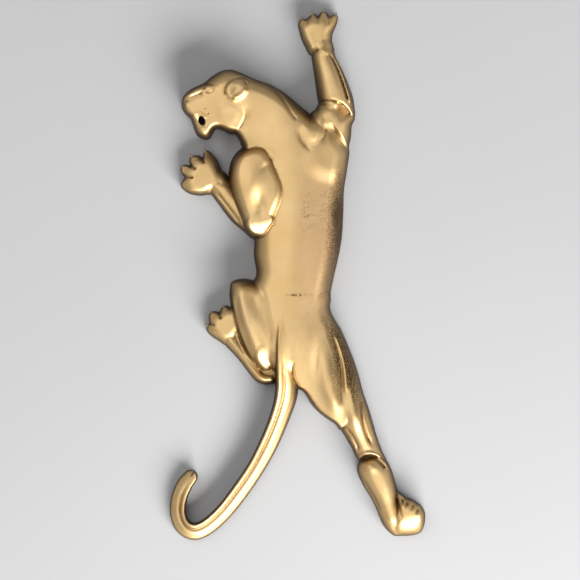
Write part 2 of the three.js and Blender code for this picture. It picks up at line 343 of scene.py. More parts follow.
def left_hind_leg():
    pillow([(-19.8, -13), (-20.4, -22), (-17.6, -27.6), (-13, -33), (-9.4, -35.6), (-5, -36), (-5, -30),
            (-12, -24), (-16, -14)], height=5, edge=1.6)
    limb([(-7.6, -35.3, 1.8, 6.2), (-10, -35.2, 1.9, 6.4), (-12.2, -33.6, 1.8, 6.4), (-16, -28.6, 1.8, 6),
          (-20, -23.4, 2.4, 5.5)], blend=0.5)
    pillow([(-20.3, -13.2), (-21.3, -12.6), (-22.6, -13), (-23.4, -14.1), (-23.7, -14.7), (-24.5, -14.4),
            (-25.8, -14.5), (-26.8, -15.3), (-26.9, -17), (-26.8, -18.1), (-27.3, -18.8), (-27.6, -20),
            (-27, -21.3), (-25.5, -22.6), (-23.5, -23.8), (-21.5, -25), (-18.5, -24), (-16, -18),
            (-18, -13)], height=5.8, edge=3.2, blend=0.8)


def haunch():
    pillow([(-5, -24), (-4, -30), (-1.8, -34.8), (0.4, -38.2), (2.2, -39.2), (3.6, -40.8), (4.8, -43),
            (6.4, -45), (8.5, -46.8), (10.5, -48.2), (12.4, -49.5), (13.8, -50.8), (15.4, -53.4),
            (17.4, -57), (18.9, -60), (20.5, -61.5), (24, -61.8), (28.6, -61.4), (27.2, -57.6),
            (25.8, -53.8), (24.6, -50), (23.4, -46), (22, -42), (20.9, -38.6), (20, -35), (18.6, -30.4),
            (16.7, -25.6), (14.4, -20.3), (12.2, -16.8), (10.9, -13.5), (11, -9), (9, -3), (3, -5),
            (0, -12)], height=BODY_HEIGHT, edge=4.8, blend=BODY_BLEND, power=2.2)
    inner_side = [(0.4, -37.8), (2.1, -39), (3.3, -40.3), (4.7, -42.5), (6.4, -44.9), (8.5, -46.8),
                  (10.5, -48.2), (12.4, -49.5), (14.2, -51.4), (17, -49), (16.5, -42), (14, -32), (8, -26),
                  (0, -26), (-1.6, -33)]
    pillow(inner_side, height=BODY_HEIGHT, edge=1.4, blend=BODY_BLEND, power=2.2)
    dimple(23, -57, 12, 8, -65, 1.8)


def right_hind_leg():
    dimple(9.5, -35, 12, 3.4, -72, -1.9)
    dimple(17.8, -43, 11, 2.6, -77, -1.2)
    dimple(18.2, -47.6, 3.4, 2, -75, -0.8)
    shin = [(19.2, -63.4), (19.8, -65.8), (21.3, -68.8), (23.4, -72.2), (25, -75.3), (26.2, -78.4),
            (27.5, -81.1), (29.3, -83.2), (31.4, -84.3), (34, -82), (33.4, -78), (32.2, -73.5), (31.7, -70),
            (30.9, -66.6), (29.8, -63.2), (28.2, -60.4), (25.4, -58.8), (22.4, -58.8), (20.2, -60.4)]
    pillow(shin, height=8.4, edge=4.6, blend=0.6, lean=(0, 0.05), power=2.2,
           facet=(31, -80.6, 7.4, -85, 0.65))
    foot = [(31.4, -70.8), (33.2, -71.2), (34.5, -72.3), (36.3, -72.8), (37.6, -73.7), (39, -74.6),
            (40.3, -76.6), (40.5, -78.6), (40.2, -81), (39.2, -83), (37.2, -84), (33.6, -84.3),
            (30.6, -83.9), (30, -80), (31, -76)]
    pillow(foot, height=7.4, edge=3, blend=0.8, lean=(0, 0.05), power=2.4,
           facet=(35.8, -80.3, 6.4, -80, 0.65))


def left_thigh():
    edge_line = [(-19.8, -5.4), (-18, -4.5), (-15.5, -4.3), (-13, -4.8), (-10.4, -6), (-8.6, -9),
                 (-7.4, -14), (-6.2, -20), (-5.4, -25), (-5.4, -30), (-6.2, -32.9), (-8.2, -34),
                 (-9.7, -34.2), (-11, -33.4), (-12.7, -31.4), (-14.6, -28.4), (-16.3, -25), (-17.9, -21),
                 (-19, -17), (-19.9, -13), (-20.4, -10), (-20.3, -7)]
    end_plane = (-9, -32.5, 6.8, -68, 0.62)
    pillow(edge_line, height=10, edge=4, blend=1.6, lean=(-0.02, 0.02), power=2.2, facet=end_plane)
    end = [(-13.8, -27), (-12.8, -30.6), (-11.3, -32.6), (-9.9, -33.9), (-8.4, -33.9), (-6.6, -32.8),
           (-5.6, -30), (-6, -26), (-9, -23), (-12, -24)]
    pillow(end, height=10, edge=2.2, blend=0.3, facet=end_plane)
    dimple(-14, -17, 11, 5, -72, -1.7)


def left_shoulder():
    edge_line = [(-16.3, 36.6), (-18.6, 34.6), (-20.1, 31.8), (-20.7, 28), (-20.4, 24.4), (-19.5, 20.5),
                 (-18.2, 17), (-16.9, 13.5), (-15.8, 10.8), (-14.8, 9.2), (-13.3, 8.1), (-11.5, 7.8),
                 (-9.7, 7.4), (-8.4, 8.6), (-6.9, 11), (-5.2, 13.7), (-3.6, 17), (-2.4, 20), (-2.1, 22.6),
                 (-2.6, 25.6), (-4.2, 29), (-5.6, 32), (-7, 35), (-8.5, 36.9), (-10.4, 37.8), (-12.8, 37.5),
                 (-14.6, 37)]
    end_plane = (-10.5, 8.2, 10, -82, 0.72)
    pillow(edge_line, height=13, edge=3.8, blend=0.4, power=2.2, facet=end_plane)
    end = [(-16.3, 12.6), (-15.5, 10.5), (-14.7, 9.2), (-13.3, 8.2), (-11.5, 7.9), (-9.8, 7.6), (-8.5, 8.7),
           (-7, 11), (-5.5, 13.7), (-6.5, 16.5), (-10.5, 18), (-15, 16)]
    pillow(end, height=13, edge=2, blend=0.3, facet=end_plane)
    dimple(-12.5, 25, 8.5, 6, 85, -1.4)


def face_details():
    step([(-34.9, 51), (-33.4, 51.9), (-31.2, 52.8), (-28.2, 53.8)], drop=0.9, width=1.6, fade=0.25)
    crease([(-27.3, 57.2), (-27.5, 56.3), (-28.1, 55.1), (-28, 53.9)], depth=0.6, width=0.35)
    crease([(-28, 53.9), (-26.9, 53.2), (-25.6, 53.6), (-25.1, 54.6), (-25.6, 55.7), (-27, 56.2)],
           depth=0.3, width=0.3, fade=0.1)
    dimple(-33.8, 50.7, 0.6, 0.35, 20, 0.7)
    crease([(-34.4, 50.2), (-34.2, 48.8), (-33.4, 47.2)], depth=0.4, width=0.4)
    dimple(-29.8, 44.5, 2, 1.5, -60, 1.1)
    ridge([(-32.3, 46), (-30.6, 46.7), (-28.7, 46.3), (-27.5, 44.8)], rise=0.4, width=0.5)
    ridge([(-31.4, 43.6), (-30.4, 42.4), (-28.9, 42.2), (-27.6, 43)], rise=0.3, width=0.5)
    crease([(-31.5, 45.2), (-31.6, 43.6), (-30.6, 42.4), (-28.6, 42.1)], depth=0.4, width=0.3)
    dimple(-27.9, 48.3, 0.25, 0.25, 0, 0.3)
    dimple(-26.9, 46.8, 0.25, 0.25, 0, 0.3)
    cheek = [(-25.2, 49.6), (-23.8, 51.6), (-20.6, 51.6), (-17.9, 50.4), (-16.1, 47.8), (-16.1, 45),
             (-17.4, 42.4), (-19.4, 41), (-22.5, 42.2), (-24.8, 44.5), (-25.8, 47)]
    swell(cheek, rise=0.5, edge=3)
    step([(-19.2, 40.8), (-17.7, 42.2), (-16.6, 43.9), (-15.9, 45.8), (-16.1, 47.6), (-16.9, 49)], drop=0.7,
         width=1.8, fade=0.45)
    ridge([(-34.2, 49.6), (-33.9, 48.2), (-33, 46.9)], rise=0.5, width=0.5)


def ear_details():
    rim = [(-21.4, 52.6), (-21.5, 54.4), (-20.4, 56.2), (-18.4, 57.5), (-16.3, 57.9), (-14.7, 57.2),
           (-14, 55.8), (-14.6, 54.2), (-16.4, 52.3), (-18.6, 50.7), (-20.2, 51)]
    swell(rim, rise=0.7, edge=1.3, crisp=1)
    crease([(-21.6, 52), (-21.7, 54.4), (-20.5, 56.4), (-18.4, 57.7), (-16.2, 58.1), (-14.5, 57.3),
            (-13.8, 55.6)], depth=0.35, width=0.3, fade=0.1)
    dimple(-18.2, 54.9, 2.9, 1.8, 42, 0.6)
    ridge([(-19.8, 51.3), (-17.9, 51.7), (-16, 53), (-14.9, 54.9)], rise=0.9, width=0.7)
    crease([(-20.2, 52.2), (-19, 53.4), (-18.2, 55.2)], depth=0.15, width=0.3)
    dimple(-15.2, 56.3, 1, 0.5, -60, 0.9)


def neck_and_back_details():
    crease([(-7.4, 55.6), (-5, 53), (-3, 50), (-1.1, 46.8), (0.8, 44.4)], depth=0.5, width=0.5, fade=0.1)
    lat = [(1.8, 37), (1.4, 32), (3, 28.2), (6.2, 25.6), (10.2, 24.4), (14.4, 24.4), (18, 27), (19.4, 32),
           (18, 38), (14, 41.5), (9.5, 43), (5, 40.5)]
    swell(lat, rise=0.8, edge=5.4)
    blade = [(5.8, 47.6), (3.4, 46.4), (1.8, 43.8), (1.4, 41), (2.4, 38.4), (4.4, 36.8), (6.6, 36.8),
             (8.3, 38.6), (9.3, 41.2), (9.5, 44), (8.4, 46.6)]
    swell(blade, rise=1.1, edge=3, crisp=0.3)
    step([(7.2, 37.8), (8.7, 39.8), (9.2, 42), (9, 44.2)], drop=0.6, width=1.6, edge=1.3, fade=0.45)
    crease([(0.8, 43.5), (0.9, 41), (2, 38.2), (4.2, 35.9), (6, 34.6)], depth=0.4, width=0.6, fade=0.4)


def right_foreleg_details():
    crease([(7.2, 50.1), (9.6, 50.9), (12, 50.8), (13.8, 49.9)], depth=0.7, width=0.45)
    step([(12.9, 50.7), (14.8, 49.7), (16.6, 48), (18, 45.6)], drop=1.9, width=2.8, edge=0.8, fade=0.25)
    step([(10.8, 44.6), (12.2, 42.7), (13.8, 40.2), (15.3, 37.8), (17.2, 34.6)], drop=1.3, width=2, edge=1,
         fade=0.35)
    crease([(10.3, 65.8), (12.1, 63.1), (13.9, 58.8), (15.4, 54.3), (16.5, 50.6)], depth=1, width=0.42,
           fade=0.1)
    ridge([(12, 65.2), (13.5, 61.6), (15.1, 57.2), (16.5, 52.6), (17.4, 49.6)], rise=0.9, width=0.4,
          fade=0.1)
    crease([(4.2, 64.2), (5.8, 65.6), (7.4, 67)], depth=0.6, width=0.45)
    dimple(9.4, 66.1, 1.7, 0.9, -20, -0.6)
    ridge([(2, 74.6), (2.8, 71.6), (4.3, 68.4), (5.4, 66.2)], rise=0.6, width=1.2)
    for knuckle in ([(3.5, 76.8), (4, 74)], [(7.1, 77.6), (7.1, 74.4)], [(10.6, 77.4), (10.1, 74.2)]):
        crease(knuckle, depth=0.45, width=0.45, fade=0.5)


def left_foreleg_details():
    crease([(-25, 23.6), (-21.5, 19), (-18.3, 14.8), (-16.6, 12.3)], depth=0.5, width=0.35)
    ridge([(-25.7, 22.8), (-22.2, 18.3), (-19, 14.1), (-17, 11.8)], rise=0.4, width=0.35)
    crease([(-24.4, 25.6), (-22.4, 25.2), (-20.6, 25.3)], depth=0.3, width=0.8)
    ridge([(-34, 23.4), (-30.4, 22.8), (-27, 23.2)], rise=0.5, width=1)
    for knuckle in ([(-28.9, 33.5), (-28.2, 31.4)], [(-32.8, 30.8), (-30.6, 29.6)], [(-34.2, 27.2),
                                                                                     (-31.4, 27)]):
        crease(knuckle, depth=0.6, width=0.35)
    dimple(-11, 19, 3.8, 1.7, 95, 0.9)
    dimple(-14.4, 25, 5, 2.4, 80, -0.4)
    dimple(-6.2, 20.5, 3.6, 2, 70, -0.5)
    dimple(-8.4, 35, 2.4, 1.4, -20, -0.4)
    dimple(-9, 30.2, 2.2, 1.2, 40, 0.45)


def left_hind_leg_details():
    ridge([(-19.6, -8), (-19.1, -13), (-18, -18), (-16.3, -22.8), (-14.4, -27), (-12.2, -30.8)], rise=0.7,
          width=0.5)
    crease([(-18.3, -8), (-17.7, -13), (-16.5, -18), (-14.7, -23), (-13, -27)], depth=0.5, width=0.8)
    dimple(-12, -12.5, 6.5, 2, -72, 0.7)
    crease([(-11.6, -5.6), (-9.9, -9), (-8.6, -14), (-7.4, -20), (-6.6, -26)], depth=0.35, width=0.8)
    ridge([(-18.9, -20), (-17.6, -23.6), (-15.5, -27.4), (-12.8, -31), (-10.4, -34.2)], rise=0.8,
          width=0.35)
    for knuckle in ([(-23.8, -14.7), (-22.9, -17)], [(-26.9, -18.2), (-24.8, -18.8)]):
        crease(knuckle, depth=0.6, width=0.35)


def right_hind_leg_details():
    step([(13.8, -44), (14, -38), (13.6, -32), (12.6, -27), (11, -22.5), (9.4, -19)], drop=1.1, width=2.2,
         edge=2.6)
    crease([(10.8, -20), (12.2, -23), (13.4, -27), (14.2, -31), (14.5, -36), (14.5, -41)], depth=0.2,
           width=0.5)
    ridge([(11.6, -20.4), (13.3, -24), (14.7, -28.5), (15.4, -33), (15.5, -38), (15.4, -42)], rise=0.7,
          width=0.8)
    dimple(7.2, -30, 6, 1.8, -85, 1.1)
    dimple(12, -42.4, 4, 1.8, -70, -0.6)
    crease([(20.3, -39.6), (20.5, -44), (21.1, -49), (22.3, -53.2), (24.4, -57)], depth=1, width=0.5)
    ridge([(21.6, -42.5), (22.8, -47.5), (24.2, -52), (25.6, -56)], rise=0.4, width=0.6)
    crease([(15.6, -50.2), (18, -53.4), (19.3, -56), (19.8, -58.4)], depth=0.7, width=0.45)
    ridge([(16.7, -53.4), (18.4, -56.4), (18.9, -58.2)], rise=0.4, width=0.4)
    ridge([(19, -61.2), (20.3, -59.3), (22.2, -58.4), (24.2, -58.5), (26.2, -59.6), (28, -61.7),
           (29.3, -63.8)], rise=0.8, width=0.45, fade=0.1)
    crease([(19.8, -61.6), (21, -60.5), (22.8, -59.8), (24.7, -60), (26.4, -61.3), (28.2, -63.4)],
           depth=0.9, width=0.6, fade=0.1)
    dimple(22.8, -62.2, 2.4, 1.7, -30, -0.8)
    ridge([(20, -66.4), (21.8, -69.4), (23.9, -72.9), (25.6, -76.2), (27, -79.4)], rise=0.5, width=0.4)
    crease([(21, -66.2), (22.8, -69.4), (24.9, -73.1), (26.5, -76.6)], depth=0.4, width=0.5)
    crease([(31.6, -71.6), (32.2, -75), (33.1, -79.2)], depth=0.35, width=0.4)
    for knuckle in ([(33.2, -71.6), (33.2, -74.8)], [(35, -72.4), (34.3, -75.6)], [(37, -73.4),
                                                                                   (35.8, -76.4)],
                    [(38.8, -74.9), (37.1, -77.4)]):
        crease(knuckle, depth=0.9, width=0.45, fade=0.5)


def sculpt():
    for mass in (trunk, head_and_neck, haunch, spine, tail, left_foreleg, right_foreleg, left_hind_leg,
                 right_hind_leg, left_thigh, left_shoulder):
        mass()
    for details in (face_details, ear_details, neck_and_back_details, right_foreleg_details,
                    left_foreleg_details, left_hind_leg_details, right_hind_leg_details):
        details()


sculpt()

# ---- end of the relief: from here on the relief becomes a solid casting ----

STEP = 0.3  # size of the cells that the surface is drawn through
MOST_FACES = 195_000  # triangles in the finished casting
FRONT_THINNING = 0.3  # how readily the relief side gives up faces, where the back gives up all it can
RIM_HEIGHT = 0.6  # below this only the flat seat counts as back, so that the rim keeps the outline
FLAT_SEAT = -0.95  # the upward part of a normal on the flat seat is below this
LOOKS_BACK = -0.05  # the same for all that looks back, such as the ceiling of the hollow
SAME_PLACE = 0.002  # corners closer together than this are one corner
WALL = 2.2  # thickness of the cast shell
HOLLOW_SOFTNESS = 0.6  # how far the ceiling of the hollow is smoothed
HEADROOM = 2  # empty space over the highest point
SEAT_BAND = 0.3  # the surface lower than this stays in the seat
FLAT = 0.05  # keeps a division away from zero where the relief is flat
STUD_PLACES = [(4, 29), (-11, -15), (12, -35)]
BOSS_RADIUS, BOSS_FOOT = 4.6, 1.4
SEAL_RECESS_RADIUS = 4.75
STUD_HOLE_RADIUS, STUD_HOLE_TOP = 2.65, 8.3
RIB_LENGTH, RIB_WIDTH, RIB_HEIGHT = 40, 4, 5
MOUTH_X, MOUTH_Y, MOUTH_HALF_LENGTH, MOUTH_HALF_WIDTH, MOUTH_TURN = -28.9, 44.6, 1.45, 1.0, 116
CLAW_RINGS, CLAW_CORNERS, CLAW_RADIUS, CLAW_HEIGHT = 6, 6, 0.38, 2.4
CLAW_LENGTH, CLAW_ROOT = 1.9, 0.8  # a claw's reach, and how much of it lies inside the toe
CLAW_RISE, CLAW_DROP = 0.5, 1.4  # it rises a little at first and then drops
CLAW_BEND_START, CLAW_BEND = -20, 100  # how its rings tip over along it, in degrees
CLAW_TAPER = 1.1  # it is this much thicker at its root than CLAW_RADIUS, and nearly a point at its end
# Each claw: where it leaves the toe, and the way it points, in degrees from +X.
CLAWS = [(5.3, 78, 92), (8.9, 78.7, 88), (12.6, 77.6, 70), (2.2, 76.4, 110), (-27.9, 35.3, 115),
         (-32.2, 33.8, 125), (-35.2, 30.6, 145), (-22.2, -13, 115), (-26, -14.9, 130), (-27.4, -18.8, 150)]


def hollow_height(height):
    """Height of the hollow in the back: a ball of the wall's thickness rolls along the inside of the
    relief."""
    reach = int(WALL / CELL)
    inner = np.full(height.shape, np.inf)
    for dj in range(-reach, reach + 1):
        for di in range(-reach, reach + 1):
            square = WALL**2 - (di**2 + dj**2) * CELL**2
            if square >= 0:
                inner = np.minimum(inner, np.roll(height, (dj, di), (0, 1)) - math.sqrt(square))
    return blurred(inner, HOLLOW_SOFTNESS)


def oval_depth(x, y, centre, half_length, half_width, turn):
    """How deep points lie in an oval. turn is the angle of its length from +X, in degrees."""
    c, s = math.cos(math.radians(turn)), math.sin(math.radians(turn))
    along = c * (x - centre[0]) + s * (y - centre[1])
    across = c * (y - centre[1]) - s * (x - centre[0])
    return (1 - np.hypot(along / half_length, across / half_width)) * half_width


def claw(x, y, turn):
    """A small claw that curves out of a toe and down: rings of corners along an arc, closed at both
    ends."""
    out = np.array([math.cos(math.radians(turn)), math.sin(math.radians(turn)), 0])
    side = np.array([-out[1], out[0], 0])
    points = []
    for t in np.linspace(0, 1, CLAW_RINGS):
        bend = math.radians(CLAW_BEND_START + CLAW_BEND * t)
        climb = np.array([0, 0, CLAW_RISE * t - CLAW_DROP * t**2])
        middle = np.array([x, y, CLAW_HEIGHT]) + out * (CLAW_LENGTH * t - CLAW_ROOT) + climb
        up = np.array([0, 0, math.cos(bend)]) + out * math.sin(bend)
        radius = CLAW_RADIUS * (CLAW_TAPER - t)
        for corner in range(CLAW_CORNERS):
            angle = math.tau * corner / CLAW_CORNERS
            points.append(middle + radius * (math.cos(angle) * up + math.sin(angle) * side))
    faces = []
    for ring in range(CLAW_RINGS - 1):
        first = ring * CLAW_CORNERS
        for corner in range(CLAW_CORNERS):
            following = (corner + 1) % CLAW_CORNERS
            faces.append((first + following, first + corner, first + corner + CLAW_CORNERS,
                          first + following + CLAW_CORNERS))
    last = (CLAW_RINGS - 1) * CLAW_CORNERS
    faces += [(0, 1, 2, 3), (0, 3, 4, 5), (last + 3, last + 2, last + 1, last), (last + 5, last + 4,
                                                                                 last + 3, last)]
    return np.array(points), np.array(faces)


class Field:
    """A field on the relief's grid, read between its points, with its slope."""

    def __init__(self, values):
        self.values = values
        self.slope = np.hypot(*np.gradient(values, CELL))

    def at(self, x, y):
        return bilinear(self.values, x, y), bilinear(self.slope, x, y)


def bilinear(values, x, y):
    u = np.clip((x - LOW_X) / CELL, 0, values.shape[1] - 1.001)
    v = np.clip((y - LOW_Y) / CELL, 0, values.shape[0] - 1.001)
    i, j = u.astype(int), v.astype(int)
    u, v = u - i, v - j
    low = values[j, i] * (1 - u) + values[j, i + 1] * u
    high = values[j + 1, i] * (1 - u) + values[j + 1, i + 1] * u
    return low * (1 - v) + high * v


def casting_depth(outer, hollow, x, y, z):
    """How deep points lie in the casting, in millimetres, negative outside it. x and y are a grid, and z
    runs along a third axis of the answer."""
    plane_x, plane_y = x[..., None], y[..., None]
    square, slope = (values[..., None] for values in outer.at(x, y))
    shell = (square - z**2) / np.sqrt(slope**2 + 4 * z**2 + FLAT)
    ceiling, slope = (values[..., None] for values in hollow.at(x, y))
    inside = (ceiling - z) / np.sqrt(1 + slope**2)
    kept = np.minimum(np.minimum(RIB_LENGTH / 2 - abs(plane_y), RIB_WIDTH / 2 - abs(plane_x)),
                      RIB_HEIGHT - z)
    removed = oval_depth(plane_x, plane_y, (MOUTH_X, MOUTH_Y), MOUTH_HALF_LENGTH, MOUTH_HALF_WIDTH,
                         MOUTH_TURN)
    for stud_x, stud_y in STUD_PLACES:
        radius = np.hypot(plane_x - stud_x, plane_y - stud_y)
        kept = np.maximum(kept, np.minimum(BOSS_RADIUS - radius, z - BOSS_FOOT))
        removed = np.maximum(removed, np.minimum(STUD_HOLE_RADIUS - radius, STUD_HOLE_TOP - z))
        removed = np.maximum(removed, np.minimum(SEAL_RECESS_RADIUS - radius, BOSS_FOOT - z))
    removed = np.maximum(removed, np.minimum(inside, -kept))
    return np.minimum(np.minimum(shell, z), -removed)


def surface_of(depth, low):
    """A closed mesh round the solid part of a 3-D array of depths: one vertex in each cell that the surface
    crosses, and one face across each grid edge that it crosses."""
    solid = depth > 0
    corners = [(a, b, c) for a in (0, 1) for b in (0, 1) for c in (0, 1)]
    views = (solid[tuple(slice(o, n - 1 + o) for o, n in zip(corner, solid.shape))] for corner in corners)
    count = sum(view.astype(np.int8) for view in views)
    crossed = (count > 0) & (count < 8)
    cells = np.argwhere(crossed)
    number = np.full(crossed.shape, -1, np.int32)
    number[crossed] = np.arange(len(cells))
    total, hits = np.zeros((len(cells), 3)), np.zeros((len(cells), 1))
    faces = []
    for axis in range(3):
        across = np.eye(3, dtype=int)[axis]
        for corner in corners:
            if corner[axis] == 0:
                start = depth[tuple((cells + corner).T)]
                end = depth[tuple((cells + corner + across).T)]
                cut = ((start > 0) != (end > 0))[:, None]
                share = (start / np.where(cut[:, 0], start - end, 1))[:, None]
                total += np.where(cut, np.array(corner) + share * across, 0)
                hits += cut
        before = solid[tuple(slice(0, n - a) for n, a in zip(solid.shape, across))]
        after = solid[tuple(slice(a, n) for n, a in zip(solid.shape, across))]
        edges = np.argwhere(before != after)
        u, v = np.roll(across, 1), np.roll(across, 2)
        around = [number[tuple((edges - shift).T)] for shift in (u + v, v, 0 * u, u)]
        quads = np.stack(around, axis=1)
        faces.append(np.where(before[tuple(edges.T)][:, None], quads, quads[:, ::-1]))
    return low + STEP * (cells + total / hits), np.vstack(faces)


def settled(vertices, outer):
    """Draws the relief's vertices onto the relief itself, which keeps its fine lines crisp."""
    x, y, z = vertices.T
    for _ in range(2):
        square = bilinear(outer.values, x, y)
        slope_x = (bilinear(outer.values, x + CELL / 2, y) - bilinear(outer.values, x - CELL / 2, y)) / CELL
        slope_y = (bilinear(outer.values, x, y + CELL / 2) - bilinear(outer.values, x, y - CELL / 2)) / CELL
        off = (square - z**2) / (slope_x**2 + slope_y**2 + 4 * z**2 + FLAT)
        distance = np.abs(off * np.sqrt(slope_x**2 + slope_y**2 + 4 * z**2))
        free = np.where((z > SEAT_BAND) & (distance < STEP / 2), off, 0)
        x, y, z = x - free * slope_x, y - free * slope_y, z + 2 * free * z
    return np.stack([x, y, z], axis=1)


def mesh_object(name, vertices, faces):
    """An object from vertices in millimetres, shaded smooth."""
    mesh = bpy.data.meshes.new(name)
    mesh.vertices.add(len(vertices))
    mesh.vertices.foreach_set("co", (np.asarray(vertices) * MM).astype(np.float32).ravel())
    mesh.loops.add(faces.size)
    mesh.loops.foreach_set("vertex_index", faces.astype(np.int32).ravel())
    mesh.polygons.add(len(faces))
    mesh.polygons.foreach_set("loop_start", np.arange(0, faces.size, faces.shape[1], dtype=np.int32))
    mesh.update(calc_edges=True)
    mesh.validate()
    mesh.shade_smooth()
    made = bpy.data.objects.new(name, mesh)
    bpy.context.scene.collection.objects.link(made)
    return made


def casting():
    outer = Field(square_of_level(relief))
    hollow = Field(hollow_height(np.sqrt(np.maximum(outer.values, 0))))
    across, along, up = (np.arange(low, high, STEP) + STEP / 2 for low, high in
                         ((LOW_X, HIGH_X), (LOW_Y, HIGH_Y), (-2 * STEP, relief.max() + HEADROOM)))
    y, x = np.meshgrid(along, across)
    depth = casting_depth(outer, hollow, x, y, up)
    low = np.array([across[0], along[0], up[0]])
    vertices, faces = surface_of(depth, low)
    vertices = settled(vertices, outer)
    for place in CLAWS:
        corners, sides = claw(*place)
        faces = np.vstack([faces, sides + len(vertices)])
        vertices = np.vstack([vertices, corners])
    return thinned(mesh_object("figure", vertices, faces))


def thinned(thing):
    """Leaves out the faces that flat stretches don't need, most of all in the back, which lies on the
    car."""
    mesh = thing.data
    normals, places = np.zeros((2, 3 * len(mesh.vertices)), np.float32)
    mesh.vertices.foreach_get("normal", normals)
    mesh.vertices.foreach_get("co", places)
    facing, height = normals[2::3], places[2::3] / MM
    back = (facing < FLAT_SEAT) | ((facing < LOOKS_BACK) & (height > RIM_HEIGHT))
    group = thing.vertex_groups.new(name="thin")
    group.add(np.flatnonzero(back).tolist(), 1.0, "REPLACE")
    group.add(np.flatnonzero(~back).tolist(), FRONT_THINNING, "REPLACE")
    modifier = thing.modifiers.new("thin", "DECIMATE")
    modifier.ratio = MOST_FACES / (2 * len(mesh.polygons))
    modifier.vertex_group = group.name
    thing.data = bpy.data.meshes.new_from_object(thing.evaluated_get(bpy.context.evaluated_depsgraph_get()))
    thing.modifiers.clear()
    thing.vertex_groups.clear()
    take_out_fins(thing.data)
    thing.data.shade_smooth()
    bpy.data.meshes.remove(mesh)
    return thing


def take_out_fins(mesh):
    """Takes out faces that lie back to back on the same corners, which thinning can leave behind."""
    made = bmesh.new()
    made.from_mesh(mesh)
    bmesh.ops.remove_doubles(made, verts=made.verts, dist=SAME_PLACE * MM)
    on_corners = {}
    for face in made.faces:
        on_corners.setdefault(frozenset(corner.index for corner in face.verts), []).append(face)
    fins = [face for group in on_corners.values() if len(group) > 1 for face in group]
    bmesh.ops.delete(made, geom=fins, context="FACES")
    made.to_mesh(mesh)
    made.free()


# ---- materials ----

GRAIN_DEPTH = 0.0001  # depth of the finest texture, in metres
UNEVEN_ROUGHNESS = 0.2  # how much rougher the turning marks make a steel piece in places


class Nodes:
    """Makes and links the nodes of one material."""

    def __init__(self, name):
        self.material = bpy.data.materials.new(name)
        self.material.use_nodes = True
        self.tree = self.material.node_tree
        self.shader = self.tree.nodes["Principled BSDF"]

    def node(self, kind, values=None, **inputs):
        made = self.tree.nodes.new(kind)
        for key, value in (values or {}).items():
            setattr(made, key, value)
        for key, value in inputs.items():
            self.put(made.inputs[key.replace("_", " ")], value)
        return made

    def put(self, socket, value):
        if isinstance(value, bpy.types.NodeSocket):
            self.tree.links.new(value, socket)
        else:
            socket.default_value = value

    def set(self, **inputs):
        for key, value in inputs.items():
            self.put(self.shader.inputs[key.replace("_", " ")], value)

    def place(self):
        return self.node("ShaderNodeTexCoord").outputs["Object"]

    def noise(self, scale, detail=4, roughness=0.55):
        made = self.node("ShaderNodeTexNoise", Vector=self.place(), Scale=scale, Detail=detail,
                         Roughness=roughness)
        return made.outputs["Fac"]

    def ramp(self, factor, *stops):
        made = self.node("ShaderNodeValToRGB", Fac=factor)
        elements = made.color_ramp.elements
        while len(elements) < len(stops):
            elements.new(0.5)
        for element, (position, colour) in zip(elements, stops):
            element.position = position
            element.color = (*colour, 1) if isinstance(colour, tuple) else (colour, colour, colour, 1)
        return made.outputs["Color"]

    def mix(self, factor, a, b):
        made = self.node("ShaderNodeMix", {"data_type": "RGBA"})
        self.put(made.inputs["Factor"], factor)
        self.put(made.inputs["A"], a)
        self.put(made.inputs["B"], b)
        return made.outputs["Result"]

    def calculation(self, kind, operation, *values):
        made = self.node(kind, {"operation": operation})
        for socket, value in zip(made.inputs, values):
            self.put(socket, value)
        return made

    def math(self, operation, *values):
        return self.calculation("ShaderNodeMath", operation, *values).outputs["Value"]

    def oval(self, centre, radii):
        """1 in the middle of an upright oval column, falling to 0 at its edge. Lengths are millimetres."""
        middle = (centre[0] * MM, centre[1] * MM, 0)
        scale = (1 / radii[0] / MM, 1 / radii[1] / MM, 0)
        off = self.calculation("ShaderNodeVectorMath", "SUBTRACT", self.place(), middle)
        scaled = self.calculation("ShaderNodeVectorMath", "MULTIPLY", off.outputs["Vector"], scale)
        length = self.calculation("ShaderNodeVectorMath", "LENGTH", scaled.outputs["Vector"])
        return self.ramp(length.outputs["Value"], (0.2, 1.0), (1.0, 0.0))

    def bump(self, height, strength):
        made = self.node("ShaderNodeBump", Height=height, Strength=strength, Distance=GRAIN_DEPTH)
        return made.outputs["Normal"]


def linear(red, green, blue):
    """Scene-linear colour of an ordinary 0 to 255 colour."""
    return tuple((v / 255 / 12.92) if v <= 10 else ((v / 255 + 0.055) / 1.055) ** 2.4 for v in (red, green,
                                                                                                blue))


